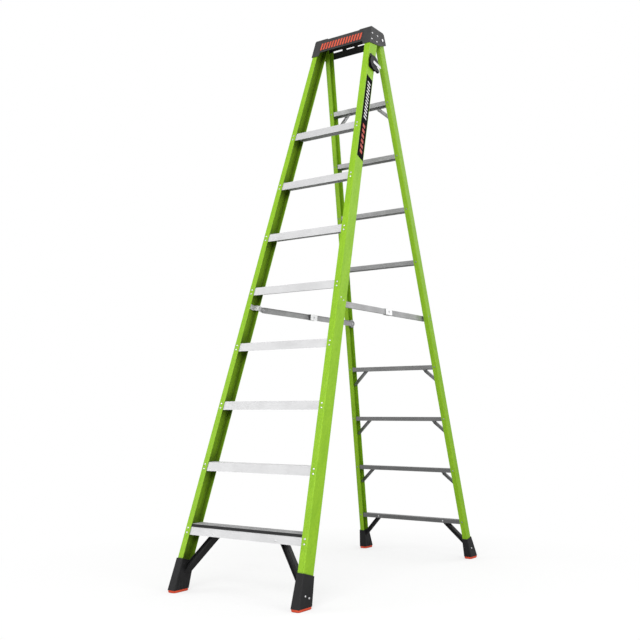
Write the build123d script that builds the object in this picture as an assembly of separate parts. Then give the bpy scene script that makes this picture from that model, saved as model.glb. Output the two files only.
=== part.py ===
from build123d import *
from math import atan, cos
import os

# Ten-foot fibreglass stepladder, standing open on level ground.
# Millimetres. X across the ladder, +Y from the climbing side to the rear rails, +Z up.
# The origin is on the ground at the centre of the footprint.
# Every leg leans and tapers, so a place on a leg is given as (inward, back, height):
# inward from the outer web, back from the leg's front face, both measured level.

# Clearances
FIT = 0.05                     # radial play of a fastener in its hole
PLAY = 0.1                     # gap between parts that only stand close together
END_GAP = 2.0                  # gap between the end of a tread or bar and the rail's web

# Front section
FRONT_FACE_Y = -908.2          # front face of the front rails at the ground
FRONT_HALF_WIDTH = 390.5       # outer web of the front rails at the ground
FRONT_TAPER = 0.0653           # how far each front rail closes in per millimetre of height
FRONT_LEAN = 0.3155            # how far the front rails lean back per millimetre of height
FRONT_FLANGE = 34.0
FRONT_DEPTH = 83.0
FRONT_WALL = 4.0
FRONT_TOP = 3034.0

# Rear section
REAR_FACE_Y = 832.2            # front face of the rear rails at the ground
REAR_HALF_WIDTH = 382.2
REAR_TAPER = 0.0645
REAR_LEAN = -0.2317
REAR_FLANGE = 29.5
REAR_DEPTH = 53.0
REAR_WALL = 3.8

# Treads and rear bars, both on one-foot centres
STEP_RISE = 304.8
FIRST_TREAD_BOTTOM = 268.6
TREAD_COUNT = 8
TREAD_HEIGHT = 41.6
TREAD_WALL = 2.6
TREAD_RIBS = 11
TREAD_RIB_HEIGHT = 1.4
TREAD_RIVET_RISES = (10.0, 32.0)      # above the tread's lower edge, on the front flange
TREAD_REAR_RISE = 11.0         # the rear wall ends this far above the front wall's lower edge
TREAD_CORNER_CUT = (75.0, 28.0)       # width and height cut from the rear wall's lower corners
MAT_SHEET = 8.0
MAT_LIP = 2.2                  # thickness of the mat's front lip
MAT_LAP = 4.0                  # how far the lip hangs down over the tread's front face
MAT_RIBS = 9
FIRST_BAR_BOTTOM = 204.0
BAR_STEPS = (0, 1, 2, 3, 5, 6, 7, 8)
GUSSETED_STEPS = (1, 2, 3, 8)
BAR_HEIGHT = 24.5
BAR_WALL = 2.2
BAR_FRONT = REAR_WALL + FIT    # the bar's front and rear faces, behind the leg's front face
BAR_REAR = REAR_DEPTH - REAR_WALL - FIT
GUSSET_WIDTH = 19.0
GUSSET_SHEET = 2.5
GUSSET_REACH = 118.0           # from the leg's web to the upper rivet
GUSSET_DROP = 92.0             # from the bar's rivet line to the lower rivet

# Top cap and main pivot
PIVOT_Z = 3006.0
PIVOT_RADIUS = 5.0
CAP_BOTTOM = 2947.0
CAP_TOP = 3050.0
CAP_POD_TOP = 3057.0
CAP_WALL = 3.2
CAP_FRONT_GAP = 3.2            # thickness of the front wall, ahead of the rails

# Spreaders
SPREADER_Z = 1415.0            # height of the spreader pivots when the ladder is open
SPREADER_STANDOFF = 26.0       # front pivot, behind the front rail's rear face
SPREADER_INWARD = 38.6         # outer face of the front bars, inward of the front rail's web
FRONT_BAR_LENGTH = 456.5       # front pivot to middle hinge
BAR_WIDTH = 31.5
BAR_PAN = 7.0                  # depth of the pressed edge
BAR_SHEET = 1.8
BAR_GAP = 0.5
REAR_BAR_LAYER = BAR_PAN + BAR_GAP    # outer face of the rear bars, inward of the front bars' one
PIN_RADIUS = 4.0
PIN_HEAD_RADIUS = 7.5
BRACKET_SHEET = 3.0
BRACKET_STRIP = 28.0           # width of the front bracket's sloping strip
BRACKET_RISE = 22.0            # how far the strip's front end stands above the pivot
LUG_GAP = 3.0                  # the rear bracket's lug stops short of the bar that swings past it
GUARD_LENGTH = 66.0
GUARD_WALL = 1.3

# Feet
SOLE_THICKNESS = 12.0
FRONT_SOLE = ((-3.5, 45.0), (-4.0, 100.0))   # inward and back limits of the sole at the ground
REAR_SOLE = ((-7.8, 39.0), (-9.7, 80.0))
SOLE_GROOVES = 6
BOOT_WALL = 4.0
BOOT_CORNER = 6.0
BOOT_SOCKET_BOTTOM = 26.0
LEG_BOTTOM = 28.0
STRUT_WALL = 4.5

# Fittings on the front rails
HOOK_BACK, HOOK_Z = 62.0, 2826.0
HOOK_RADIUS = 45.0
HOOK_THICKNESS = 11.0
LABEL_BACKS = (14.0, 76.0)
LABEL_HEIGHTS = (2236.0, 2742.0)
LABEL_SLANT = 26.0


class Leg:
    """One right-hand leg: a channel with its web outward, leaning and tapering with height."""

    def __init__(self, half_width, taper, face_y, lean, flange, depth, wall):
        self.half_width = half_width
        self.taper = taper
        self.face_y = face_y
        self.lean = lean
        self.flange = flange
        self.depth = depth
        self.wall = wall
        self.out = Vector(1, 0, taper).normalized()
        self.forward = Vector(0, -1, lean).normalized()

    def point(self, inward, back, z):
        return Vector(self.half_width - self.taper * z - inward, self.face_y + self.lean * z + back, z)

    def prism(self, outline, z_low, z_high):
        """Run a level outline of (inward, back) points along the leg."""
        corners = [self.point(inward, back, z_low) for inward, back in outline]
        face = Face(Wire.make_polygon(corners, close=True))
        run = self.point(0, 0, z_high) - self.point(0, 0, z_low)
        return Solid.extrude(face, run)

    def box(self, inward, back, z_range):
        """A block between two inward distances, two back distances and two heights."""
        (low_in, high_in), (low_back, high_back) = inward, back
        outline = [(low_in, low_back), (high_in, low_back), (high_in, high_back), (low_in, high_back)]
        return self.prism(outline, *z_range)

    def channel(self, z_low, z_high):
        flange, depth, wall = self.flange, self.depth, self.wall
        outline = [
            (0, 0), (flange, 0), (flange, wall), (wall, wall),
            (wall, depth - wall), (flange, depth - wall), (flange, depth), (0, depth),
        ]
        body = self.prism(outline, z_low, z_high)
        long_edges = body.edges().filter_by(lambda edge: edge.length > 0.9 * (z_high - z_low))
        corners = [self.point(0, 0, z_low), self.point(0, depth, z_low)]
        inner = [self.point(wall, wall, z_low), self.point(wall, depth - wall, z_low)]
        tips = [self.point(flange, back, z_low) for back in (0, wall, depth - wall, depth)]
        for places, radius in ((corners, 5.0), (inner, 1.5), (tips, 1.2)):
            edges = [e for e in long_edges if min((p - q).length for p in places for q in ends(e)) < 0.01]
            body = body.fillet(radius, match_edges(body, edges))
        return body


def ends(edge):
    return edge.position_at(0), edge.position_at(1)


def match_edges(body, wanted):
    """The body's own edges that lie where the wanted ones do."""
    middles = [edge.center() for edge in wanted]
    return [e for e in body.edges() if any((e.center() - m).length < 0.01 for m in middles)]


FRONT = Leg(FRONT_HALF_WIDTH, FRONT_TAPER, FRONT_FACE_Y, FRONT_LEAN, FRONT_FLANGE, FRONT_DEPTH, FRONT_WALL)
REAR = Leg(REAR_HALF_WIDTH, REAR_TAPER, REAR_FACE_Y, REAR_LEAN, REAR_FLANGE, REAR_DEPTH, REAR_WALL)


def save(name, shape):
    export_step(shape, f"parts/{name}.step")


def mirrored(shape):
    return mirror(shape, about=Plane.YZ)


def save_pair(name, right_shape):
    save(f"{name}_right", right_shape)
    save(f"{name}_left", mirrored(right_shape))


def group(shapes):
    return Compound(children=list(shapes))


def both_sides(shapes):
    return group(list(shapes) + [mirrored(shape) for shape in shapes])


def cut(body, tools):
    """Take the tools away and keep the one solid that is left."""
    tools = list(tools)
    if not tools:
        return body
    return body.cut(*tools).solids().sort_by(SortBy.VOLUME)[-1]


def rod(origin, axis, radius, start, end):
    """A round bar along an axis, between two distances from the origin."""
    base = Plane(origin=origin + axis * start, z_dir=axis)
    return Solid.make_cylinder(radius, end - start, base)


def rivet(origin, outward, grip, head_radius=5.0, shank_radius=2.4, tail=True):
    """A low-headed blind rivet: head on the outer face at origin, shank through the grip, tail behind."""
    head_height = 0.42 * head_radius
    profile = [
        (0, head_height), (0.5 * head_radius, head_height), (0.85 * head_radius, 0.6 * head_height),
        (head_radius, 0), (shank_radius, 0), (shank_radius, -grip),
    ]
    if tail:
        profile += [(0.75 * head_radius, -grip), (0.5 * head_radius, -grip - 1.8), (0, -grip - 1.8)]
    else:
        profile += [(0, -grip)]
    face = Face(Wire.make_polygon([Vector(radius, 0, z) for radius, z in profile], close=True))
    return Plane(origin=origin, z_dir=outward).location * Solid.revolve(face, 360, Axis.Z)


def rivet_hole(origin, outward, grip, shank_radius=2.4):
    return rod(origin, outward, shank_radius + FIT, -grip - 3.0, 3.0)


def slab_between_webs(leg, inset, z_low, z_high):
    """Everything between the two webs of a pair of legs, for trimming level parts."""
    half_low = leg.half_width - leg.taper * z_low - inset
    half_high = leg.half_width - leg.taper * z_high - inset
    corners = [(-half_low, z_low), (half_low, z_low), (half_high, z_high), (-half_high, z_high)]
    wire = Wire.make_polygon([Vector(x, -2000, z) for x, z in corners], close=True)
    return Solid.extrude(Face(wire), Vector(0, 4000, 0))


def rectangle(front, rear, low, high):
    """The (back, height) corners of a rectangle."""
    return [(front, low), (rear, low), (rear, high), (front, high)]


def across(leg, profile):
    """Run a (back, height) profile level across the ladder."""
    corners = [Vector(-500, leg.face_y + leg.lean * z + back, z) for back, z in profile]
    return Solid.extrude(Face(Wire.make_polygon(corners, close=True)), Vector(1000, 0, 0))


# ---------------------------------------------------------------- treads

def tread_bottom(step):
    return FIRST_TREAD_BOTTOM + STEP_RISE * step


def tread_body(step):
    """A pressed aluminium channel, open downward, with a ribbed top."""
    low = tread_bottom(step)
    high = low + TREAD_HEIGHT
    front = FRONT_WALL + FIT
    rear = FRONT_DEPTH - FRONT_WALL - FIT
    shell = across(FRONT, rectangle(front, rear, low, high))
    hollow = across(FRONT, rectangle(front + TREAD_WALL, rear - TREAD_WALL, low - 1, high - TREAD_WALL))
    short_rear = across(FRONT, rectangle(rear - TREAD_WALL - 1, rear + 1, low - 1, low + TREAD_REAR_RISE))
    body = shell.cut(hollow, short_rear).solid()
    pitch = (rear - front) / TREAD_RIBS
    ribs = []
    for number in range(TREAD_RIBS):
        start = front + (number + 0.25) * pitch
        ribs.append(across(FRONT, [
            (start, high - 0.5), (start + 0.5 * pitch, high - 0.5),
            (start + 0.4 * pitch, high + TREAD_RIB_HEIGHT), (start + 0.1 * pitch, high + TREAD_RIB_HEIGHT),
        ]))
    body = body.fuse(*ribs).solid()
    body = body.intersect(slab_between_webs(FRONT, FRONT_WALL + END_GAP, low - 20, high + 20)).solid()
    return cut(body, tread_corner_cuts(step))


def tread_corner_cuts(step):
    """The rear wall's lower corners are cut away on a slant, clear of the rear flanges."""
    low = tread_bottom(step)
    end = FRONT.point(FRONT_WALL, 0, low).X
    y_start = FRONT.point(0, FRONT_DEPTH / 2, low).Y
    width, height = TREAD_CORNER_CUT
    corners = [(end - width, low - 2), (end + 5, low - 2), (end + 5, low + height)]
    wire = Wire.make_polygon([Vector(x, y_start, z) for x, z in corners], close=True)
    wedge = Solid.extrude(Face(wire), Vector(0, 80, 0))
    return [wedge, mirrored(wedge)]


def tread_fastenings(step):
    """Origins, directions and grips of the right-hand rivets of one tread."""
    low = tread_bottom(step)
    grip = FRONT_WALL + TREAD_WALL + FIT
    places = []
    for rise in TREAD_RIVET_RISES:
        places.append((FRONT.point(FRONT_FLANGE / 2, 0, low + rise), FRONT.forward, grip))
    rear = FRONT.point(FRONT_FLANGE / 2, FRONT_DEPTH, low + TREAD_RIVET_RISES[1])
    places.append((rear, FRONT.forward * -1, grip))
    return places


def tread_mat():
    """A ribbed rubber mat over the lowest tread, with a lip down its front."""
    low = tread_bottom(0)
    under = low + TREAD_HEIGHT + TREAD_RIB_HEIGHT + PLAY
    top = under + MAT_SHEET
    front = FRONT_WALL + FIT
    rear = FRONT_DEPTH - FRONT_WALL - FIT
    lip_bottom = low + TREAD_HEIGHT - MAT_LAP
    shape = across(FRONT, [
        (front - MAT_LIP, lip_bottom), (front - PLAY, lip_bottom), (front - PLAY, under),
        (rear, under), (rear, top), (front - MAT_LIP, top),
    ])
    pitch = (rear - front - 8) / MAT_RIBS
    ribs = []
    for number in range(MAT_RIBS):
        start = front + 5 + number * pitch
        ribs.append(across(FRONT, [
            (start, top - 0.4), (start + 4, top - 0.4), (start + 3.2, top + 1.6), (start + 0.8, top + 1.6),
        ]))
    shape = shape.fuse(*ribs).solid()
    return shape.intersect(slab_between_webs(FRONT, FRONT_FLANGE + 1.0, low - 20, top + 60)).solid()


tread_places = [place for step in range(TREAD_COUNT) for place in tread_fastenings(step)]
tread_rivets = [rivet(*place) for place in tread_places]
tread_holes = [rivet_hole(*place) for place in tread_places]


# ---------------------------------------------------------------- front feet

def plan_outline(leg, sole, z):
    """The corners of a sole, seen from above."""
    (low_in, high_in), (low_back, high_back) = sole
    ground = leg.point(0, 0, 0)
    corners = ((low_in, low_back), (high_in, low_back), (high_in, high_back), (low_in, high_back))
    return [Vector(ground.X - inward, ground.Y + back, z) for inward, back in corners]


def sole_pad(leg, sole):
    """A moulded rubber pad with rounded ends and a grooved underside."""
    face = Face(Wire.make_polygon(plan_outline(leg, sole, 0.0), close=True))
    pad = Solid.extrude(face, Vector(0, 0, SOLE_THICKNESS))
    upright = pad.edges().filter_by(Axis.Z)
    pad = pad.fillet(14.0, upright)
    rim = pad.faces().sort_by(Axis.Z)[0].edges()
    pad = pad.chamfer(3.0, None, rim)
    corner = plan_outline(leg, sole, 0.0)[2]
    length = sole[1][1] - sole[1][0]
    grooves = []
    for number in range(1, SOLE_GROOVES + 1):
        y = corner.Y - number * length / (SOLE_GROOVES + 1)
        grooves.append(Pos(corner.X, y, 0) * Solid.make_box(120, 4, 3, Plane((-60, -2, -1))))
    return cut(pad, grooves)


def boot_block(leg, sole, rim_front, rim_rear):
    """The outside of a moulded boot round the foot of a leg, flaring down to the sole."""
    (low_in, high_in), (low_back, high_back) = sole
    ground = leg.point((low_in + high_in) / 2, (low_back + high_back) / 2, 0)
    bottom_plane = Plane(origin=(ground.X, ground.Y, SOLE_THICKNESS + PLAY))
    bottom = bottom_plane * RectangleRounded(high_in - low_in, high_back - low_back, BOOT_CORNER)
    front = leg.point(leg.flange / 2, -BOOT_WALL, rim_front)
    rear = leg.point(leg.flange / 2, leg.depth + BOOT_WALL, rim_rear)
    middle = (front + rear) * 0.5
    slope = (rear - front).normalized()
    x_dir = Vector(1, 0, 0)
    rim_normal = x_dir.cross(Vector(0, slope.Y, slope.Z))
    rim_plane = Plane(origin=(middle.X, middle.Y, middle.Z), x_dir=x_dir, z_dir=rim_normal)
    rim = rim_plane * RectangleRounded(leg.flange + 2 * BOOT_WALL, (rear - front).length, BOOT_CORNER)
    return Solid.make_loft([bottom.face().outer_wire(), rim.face().outer_wire()], ruled=True)


def boot(leg, block, ribs):
    """The boot itself: the block with a socket for the leg and ribs on its inner face."""
    socket = leg.box((-PLAY, leg.flange + PLAY), (-PLAY, leg.depth + PLAY), (BOOT_SOCKET_BOTTOM, 400.0))
    return block.cut(socket).solid().fuse(*ribs).solid()


def boot_ribs(leg, sole, z_top, count):
    """Upright ribs moulded on the inner face of the boot, above the sole."""
    ground = leg.point(0, 0, 0)
    inner_x = ground.X - sole[0][1]
    height = z_top - SOLE_THICKNESS
    ribs = []
    for number in range(count):
        y = ground.Y + sole[1][0] + 26 + number * 20
        ribs.append(Solid.make_box(5.0, 6.0, height, Plane((inner_x - 2.0, y, SOLE_THICKNESS + PLAY))))
    return ribs


def strut(start, end, width, depth, leg):
    """A straight moulded strut with a long pocket in its front, in a leg's own slant plane."""
    run = end - start
    along = run.normalized()
    across_strut = along.cross(leg.forward).normalized()
    corners = [
        start + across_strut * (width / 2 * side) + leg.forward * (depth / 2 * way)
        for side, way in ((-1, -1), (1, -1), (1, 1), (-1, 1))
    ]
    beam = Solid.extrude(Face(Wire.make_polygon(corners, close=True)), run)
    pocket_start = start + along * 14
    pocket_run = run - along * 34
    inner = [
        pocket_start + across_strut * ((width / 2 - STRUT_WALL) * side) + leg.forward * (depth * way)
        for side, way in ((-1, 0.22), (1, 0.22), (1, 0.6), (-1, 0.6))
    ]
    pocket = Solid.extrude(Face(Wire.make_polygon(inner, close=True)), pocket_run)
    beam = beam.cut(pocket).solid()
    long_edges = [edge for edge in beam.edges() if edge.length > 0.9 * run.length]
    return beam.fillet(3.0, long_edges)


front_boot_block = boot_block(FRONT, FRONT_SOLE, 160.0, 136.0)
rear_boot_block = boot_block(REAR, REAR_SOLE, 116.0, 128.0)
front_boot = boot(FRONT, front_boot_block, boot_ribs(FRONT, FRONT_SOLE, 52.0, 4))
rear_boot = boot(REAR, rear_boot_block, boot_ribs(REAR, REAR_SOLE, 44.0, 2))


def foot_strut(leg, boot_outside, foot, top, section, head_profile, head_x):
    """A moulded strut from the boot's inner wall up to a block that fills the tread or bar above."""
    beam = strut(foot, top, *section, leg)
    low_x, high_x = head_x
    head = across(leg, head_profile)
    keep = Solid.make_box(high_x - low_x, 400, 200, Plane((low_x, foot.Y - 200, top.Z - 100)))
    head = head.intersect(keep).solid()
    body = beam.fuse(head).solid()
    ceiling = max(z for _, z in head_profile)
    floor = min(z for _, z in head_profile)
    backs = [back for back, _ in head_profile]
    above = across(leg, rectangle(-200, 300, ceiling, ceiling + 120))
    before = across(leg, rectangle(-200, min(backs), floor - 2, ceiling))
    behind = across(leg, rectangle(max(backs), 300, floor - 2, ceiling))
    rail_side = leg.box((-50, leg.flange + 1.0), (-100, 200), (-10, 400))
    return cut(body, [above, before, behind, rail_side, boot_outside])


# Each strut's head fills the inside of the lowest tread or bar.
front_inside = rectangle(
    FRONT_WALL + TREAD_WALL + FIT + PLAY, FRONT_DEPTH - FRONT_WALL - TREAD_WALL - FIT - PLAY,
    tread_bottom(0) + 2.0, tread_bottom(0) + TREAD_HEIGHT - TREAD_WALL - PLAY,
)
front_strut_top = Vector(192.0, FRONT.point(0, 52.0, 290.0).Y, 290.0)
front_strut = foot_strut(
    FRONT, front_boot_block, FRONT.point(FRONT_FLANGE - 4, 52.0, 92.0), front_strut_top,
    (28.0, 40.0), front_inside, (166.0, 214.0),
)
rear_inside = rectangle(
    BAR_FRONT + BAR_WALL + PLAY, BAR_REAR - BAR_WALL - PLAY,
    FIRST_BAR_BOTTOM + 2.0, FIRST_BAR_BOTTOM + BAR_HEIGHT - BAR_WALL - PLAY,
)
rear_strut_top = Vector(228.0, REAR.point(0, 26.0, 214.0).Y, 214.0)
rear_strut = foot_strut(
    REAR, rear_boot_block, REAR.point(REAR_FLANGE - 4, 26.0, 92.0), rear_strut_top,
    (23.0, 28.0), rear_inside, (200.0, 248.0),
)


def boot_fastenings(leg, stand, heights, backs):
    """Rivets whose heads stand this far outside the leg's web, on the boot's flared side."""
    return [(leg.point(-stand, back, z), leg.out, stand + leg.wall) for z, back in zip(heights, backs)]


def strut_fastenings(leg, wall_front, wall, x, z):
    """A rivet through the front wall of the tread or bar into the strut's head."""
    origin = Vector(x, leg.point(0, wall_front, z).Y, z)
    return (origin, leg.forward, wall + 12.0)


front_foot_places = boot_fastenings(FRONT, BOOT_WALL + 0.4, (62.0, 50.0), (30.0, 62.0))
front_foot_places.append(strut_fastenings(FRONT, FRONT_WALL + FIT, TREAD_WALL, 190.0, tread_bottom(0) + 14))
rear_foot_places = boot_fastenings(REAR, BOOT_WALL + 3.0, (62.0,), (26.0,))
rear_foot_places.append(strut_fastenings(REAR, BAR_FRONT, BAR_WALL, 224.0, FIRST_BAR_BOTTOM + 12))


def foot_rivets(places):
    """Rivets of one foot; the last one screws into the strut's head, so it has no tail."""
    return [rivet(*place) for place in places[:-1]] + [rivet(*places[-1], tail=False)]


front_foot_holes = [rivet_hole(*place) for place in front_foot_places]
rear_foot_holes = [rivet_hole(*place) for place in rear_foot_places]


# ---------------------------------------------------------------- rear bars and gussets

def bar_bottom(step):
    return FIRST_BAR_BOTTOM + STEP_RISE * step


def bar_body(step):
    """A pressed channel, open downward, that ties the rear legs together."""
    low = bar_bottom(step)
    high = low + BAR_HEIGHT
    shell = across(REAR, rectangle(BAR_FRONT, BAR_REAR, low, high))
    hollow = across(REAR, rectangle(BAR_FRONT + BAR_WALL, BAR_REAR - BAR_WALL, low - 1, high - BAR_WALL))
    body = shell.cut(hollow).solid()
    return body.intersect(slab_between_webs(REAR, REAR_WALL + END_GAP, low - 20, high + 20)).solid()


def bar_fastenings(step):
    low = bar_bottom(step)
    grip = REAR_WALL + BAR_WALL + FIT
    front = REAR.point(REAR_FLANGE / 2, 0, low + BAR_HEIGHT / 2)
    rear = REAR.point(REAR_FLANGE / 2, REAR_DEPTH, low + BAR_HEIGHT / 2)
    return [(front, REAR.forward, grip), (rear, REAR.forward * -1, grip)]


def gusset_ends(step):
    """The middle of a gusset's thickness at its upper and lower rivets."""
    top_z = bar_bottom(step) + BAR_HEIGHT / 2
    low_z = top_z - GUSSET_DROP
    back = BAR_REAR - BAR_WALL - PLAY - GUSSET_SHEET / 2
    return REAR.point(GUSSET_REACH, back, top_z), REAR.point(18.5, back, low_z)


def gusset_body(step):
    """A flat strip with rolled edges, riveted behind the bar and on the leg's rear flange."""
    top, low = gusset_ends(step)
    along = (low - top).normalized()
    length = (low - top).length
    base = Plane(origin=(top + low) * 0.5, x_dir=along, z_dir=REAR.forward)
    with BuildPart() as built:
        with BuildSketch():
            SlotCenterToCenter(length, GUSSET_WIDTH)
        extrude(amount=GUSSET_SHEET / 2, both=True)
        with BuildSketch(Plane.XY.offset(GUSSET_SHEET / 2)):
            with Locations((0, GUSSET_WIDTH / 2 - 1), (0, 1 - GUSSET_WIDTH / 2)):
                Rectangle(length - 46, 2)
        extrude(amount=7)
    return base.location * built.part.solid()


def gusset_fastenings(step):
    """The rivet through the bar's rear wall and the one through the leg's rear flange."""
    top, low = gusset_ends(step)
    behind = REAR.forward * -1
    top_origin = top + behind * (GUSSET_SHEET / 2 + (PLAY + BAR_WALL) * cos(atan(abs(REAR_LEAN))))
    low_grip = (REAR_WALL + BAR_WALL + FIT + PLAY) * cos(atan(abs(REAR_LEAN)))
    low_origin = low + behind * (GUSSET_SHEET / 2 + low_grip)
    return [
        (top_origin, behind, BAR_WALL + PLAY + GUSSET_SHEET),
        (low_origin, behind, low_grip + GUSSET_SHEET),
    ]


bar_places = [place for step in BAR_STEPS for place in bar_fastenings(step)]
gusset_places = [place for step in GUSSETED_STEPS for place in gusset_fastenings(step)]
bar_rivets = [rivet(*place, head_radius=4.5) for place in bar_places + gusset_places]
bar_holes = [rivet_hole(*place) for place in bar_places + gusset_places]


# ---------------------------------------------------------------- spreaders

PIVOT = Vector(0, REAR.point(0, REAR_DEPTH / 2, PIVOT_Z).Y, PIVOT_Z)
front_pin_y = FRONT.point(0, FRONT_DEPTH + SPREADER_STANDOFF, SPREADER_Z).Y
rear_pin_y = REAR.point(0, REAR_DEPTH / 2, SPREADER_Z).Y
front_pin = Vector(FRONT.point(SPREADER_INWARD, 0, SPREADER_Z).X, front_pin_y, SPREADER_Z)
middle_pin = front_pin + Vector(0, FRONT_BAR_LENGTH, 0)
rear_pin = Vector(front_pin.X, rear_pin_y, SPREADER_Z)
rear_bar_length = rear_pin_y - middle_pin.Y
inward = FRONT.out * -1


def pan_bar(start, length, layer):
    """A pressed spreader bar: a flat pan with a rim all round, rounded at both ends."""
    centre = start + Vector(0, length / 2, 0) + inward * layer
    base = Plane(origin=centre, x_dir=(0, 1, 0), z_dir=inward)
    with BuildPart() as built:
        with BuildSketch():
            SlotCenterToCenter(length, BAR_WIDTH)
        extrude(amount=BAR_PAN)
        with BuildSketch(Plane.XY.offset(BAR_SHEET)):
            SlotCenterToCenter(length, BAR_WIDTH - 2 * BAR_SHEET)
        extrude(amount=BAR_PAN, mode=Mode.SUBTRACT)
        fillet(built.faces().sort_by(Axis.Z)[0].edges(), 1.2)
    return base.location * built.part.solid()


def turned(origin, steps):
    """A pin turned about the spreader's hinge direction from (start, end, radius) steps."""
    shank, *collars = [rod(origin, inward, radius, start, end) for start, end, radius in steps]
    return shank.fuse(*collars).solid()


front_pin_hole = rod(front_pin, inward, PIN_RADIUS + FIT, -30, 30)
middle_pin_hole = rod(middle_pin, inward, PIN_RADIUS + FIT, -30, 30)
rear_pin_hole = rod(rear_pin, inward, PIN_RADIUS + FIT, -30, 30)

front_bar = cut(pan_bar(front_pin, FRONT_BAR_LENGTH, 0), [front_pin_hole, middle_pin_hole])
rear_bar = cut(pan_bar(middle_pin, rear_bar_length, REAR_BAR_LAYER), [middle_pin_hole, rear_pin_hole])

front_spreader_pin = turned(front_pin, [
    (-BRACKET_SHEET - BAR_GAP, BAR_PAN + 1.5, PIN_RADIUS),
    (-BRACKET_SHEET - BAR_GAP - 2.5, -BRACKET_SHEET - BAR_GAP, PIN_HEAD_RADIUS),
    (BAR_SHEET + 0.3, BAR_SHEET + 2.3, PIN_HEAD_RADIUS),
])
middle_spreader_pin = turned(middle_pin, [
    (-0.2, REAR_BAR_LAYER + BAR_SHEET + 2.6, PIN_RADIUS),
    (-2.4, -0.2, PIN_HEAD_RADIUS),
    (BAR_SHEET + 0.3, REAR_BAR_LAYER - 0.2, PIN_HEAD_RADIUS),
    (REAR_BAR_LAYER + BAR_SHEET + 0.2, REAR_BAR_LAYER + BAR_SHEET + 2.2, PIN_HEAD_RADIUS),
])
rear_spreader_pin = turned(rear_pin, [
    (REAR_BAR_LAYER - 0.1, REAR_BAR_LAYER + BAR_SHEET + 2.6, PIN_RADIUS),
    (REAR_BAR_LAYER + BAR_SHEET + 0.1, REAR_BAR_LAYER + BAR_SHEET + 2.1, PIN_HEAD_RADIUS),
])


def bent_plate(leg, path, sheet, z_low, z_high):
    """A bent plate: a level centreline of (inward, back) points given a thickness, run along the leg."""
    line = Wire([Edge.make_line(Vector(*a, 0), Vector(*b, 0)) for a, b in zip(path, path[1:])])
    band = trace_outline(line, sheet)
    return leg.prism(band, z_low, z_high)


def trace_outline(line, sheet):
    """Corner points of the strip that follows a bent line, mitred at its bends."""
    points = [vertex.center() for vertex in line.vertices()]
    left = []
    right = []
    for index, point in enumerate(points):
        before = points[max(index - 1, 0)]
        after = points[min(index + 1, len(points) - 1)]
        first = (point - before).normalized() if index else (after - point).normalized()
        second = (after - point).normalized() if index < len(points) - 1 else first
        mitre = (first + second).normalized()
        normal = Vector(-mitre.Y, mitre.X, 0)
        reach = sheet / 2 / max(0.3, mitre.dot(first))
        left.append(point + normal * reach)
        right.append(point - normal * reach)
    return [(point.X, point.Y) for point in left + right[::-1]]


def rounded(plate, sheet, radius):
    """The plate with the corners of its two free ends rounded."""
    return plate.fillet(radius, [edge for edge in plate.edges() if edge.length < 1.5 * sheet])


def sloping_strip(leg, front_end, rear_end, width):
    """The space within half a width above and below the line through two (back, height) points."""
    corners = []
    for (back, z), side in ((front_end, -1), (rear_end, -1), (rear_end, 1), (front_end, 1)):
        corners.append(Vector(0, leg.point(0, back, z).Y, z + side * width / 2))
    return Solid.extrude(Face(Wire.make_polygon(corners, close=True)), Vector(500, 0, 0))


front_lug = SPREADER_INWARD - BAR_GAP - BRACKET_SHEET / 2
front_bracket = bent_plate(FRONT, [
    (FRONT_WALL + PLAY + BRACKET_SHEET / 2, 14.0), (FRONT_WALL + PLAY + BRACKET_SHEET / 2, 62.0),
    (front_lug, 73.0), (front_lug, 126.0),
], BRACKET_SHEET, SPREADER_Z - 60, SPREADER_Z + 60)
pivot_back = FRONT_DEPTH + SPREADER_STANDOFF
strip_slope = -BRACKET_RISE / (pivot_back - 14.0)
front_bracket = front_bracket.intersect(sloping_strip(
    FRONT, (-20.0, SPREADER_Z + strip_slope * (-20.0 - pivot_back)),
    (150.0, SPREADER_Z + strip_slope * (150.0 - pivot_back)), BRACKET_STRIP,
)).solid()
rear_web_x = REAR.point(0, 0, SPREADER_Z).X
rear_lug_inner = rear_web_x - front_pin.X + REAR_BAR_LAYER - LUG_GAP
rear_bracket = bent_plate(REAR, [
    (REAR_WALL + PLAY + BRACKET_SHEET / 2, 8.0), (REAR_WALL + PLAY + BRACKET_SHEET / 2, 44.0),
    (rear_lug_inner - BRACKET_SHEET / 2, 44.0), (rear_lug_inner - BRACKET_SHEET / 2, 12.0),
], BRACKET_SHEET, 1392.0, 1438.0)
front_bracket = cut(rounded(front_bracket, BRACKET_SHEET, 10.0), [front_pin_hole])
rear_bracket = cut(rounded(rear_bracket, BRACKET_SHEET, 12.0), [rear_pin_hole])


def bracket_fastenings(leg, places):
    grip = leg.wall + PLAY + BRACKET_SHEET
    return [(leg.point(0, back, z), leg.out, grip) for back, z in places]


front_bracket_places = bracket_fastenings(FRONT, [(29.5, 1438.5), (55.0, 1425.0)])
rear_bracket_places = bracket_fastenings(REAR, [(16.0, 1426.0), (34.0, 1406.0)])
front_bracket_holes = [rivet_hole(*place) for place in front_bracket_places]
rear_bracket_holes = [rivet_hole(*place) for place in rear_bracket_places]


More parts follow.
